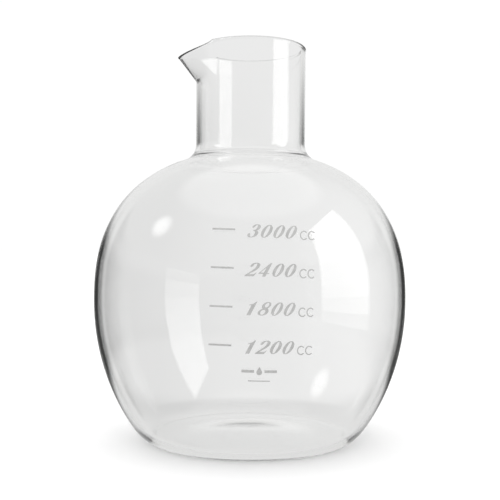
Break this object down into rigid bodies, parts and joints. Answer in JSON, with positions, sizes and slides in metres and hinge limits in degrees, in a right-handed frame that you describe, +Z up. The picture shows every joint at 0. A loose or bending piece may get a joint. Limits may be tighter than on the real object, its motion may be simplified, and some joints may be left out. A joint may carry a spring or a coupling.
{
  "type": "round bottom flask",
  "caption": "Clear glass flask with a round body on a flat foot, a straight neck, a pouring lip and a printed volume scale.",
  "frame": {"origin": "centre of the flat foot, on the plane that the flask stands on", "axes": "+Z up along the axis of the neck, -X towards the pouring lip, -Y towards the printed scale"},
  "size_m": [0.194, 0.1944, 0.245],
  "materials": {
    "borosilicate_glass": "clear blown glass, fire polished",
    "enamel_print": "fired grey-white enamel, satin"
  },
  "bodies": {
    "root": {"globe": "borosilicate_glass", "neck": "borosilicate_glass", "scale_line_3000": "enamel_print", "numeral_thousands_3000": "enamel_print", "numeral_hundreds_3000": "enamel_print", "numeral_tens_3000": "enamel_print", "numeral_ones_3000": "enamel_print", "unit_c_first_3000": "enamel_print", "unit_c_second_3000": "enamel_print", "scale_line_2400": "enamel_print", "numeral_thousands_2400": "enamel_print", "numeral_hundreds_2400": "enamel_print", "numeral_tens_2400": "enamel_print", "numeral_ones_2400": "enamel_print", "unit_c_first_2400": "enamel_print", "unit_c_second_2400": "enamel_print", "scale_line_1800": "enamel_print", "numeral_thousands_1800": "enamel_print", "numeral_hundreds_1800": "enamel_print", "numeral_tens_1800": "enamel_print", "numeral_ones_1800": "enamel_print", "unit_c_first_1800": "enamel_print", "unit_c_second_1800": "enamel_print", "scale_line_1200": "enamel_print", "numeral_thousands_1200": "enamel_print", "numeral_hundreds_1200": "enamel_print", "numeral_tens_1200": "enamel_print", "numeral_ones_1200": "enamel_print", "unit_c_first_1200": "enamel_print", "unit_c_second_1200": "enamel_print", "emblem_drop": "enamel_print", "emblem_bar_left": "enamel_print", "emblem_bar_right": "enamel_print", "emblem_rule": "enamel_print"}
  },
  "joints": []
}
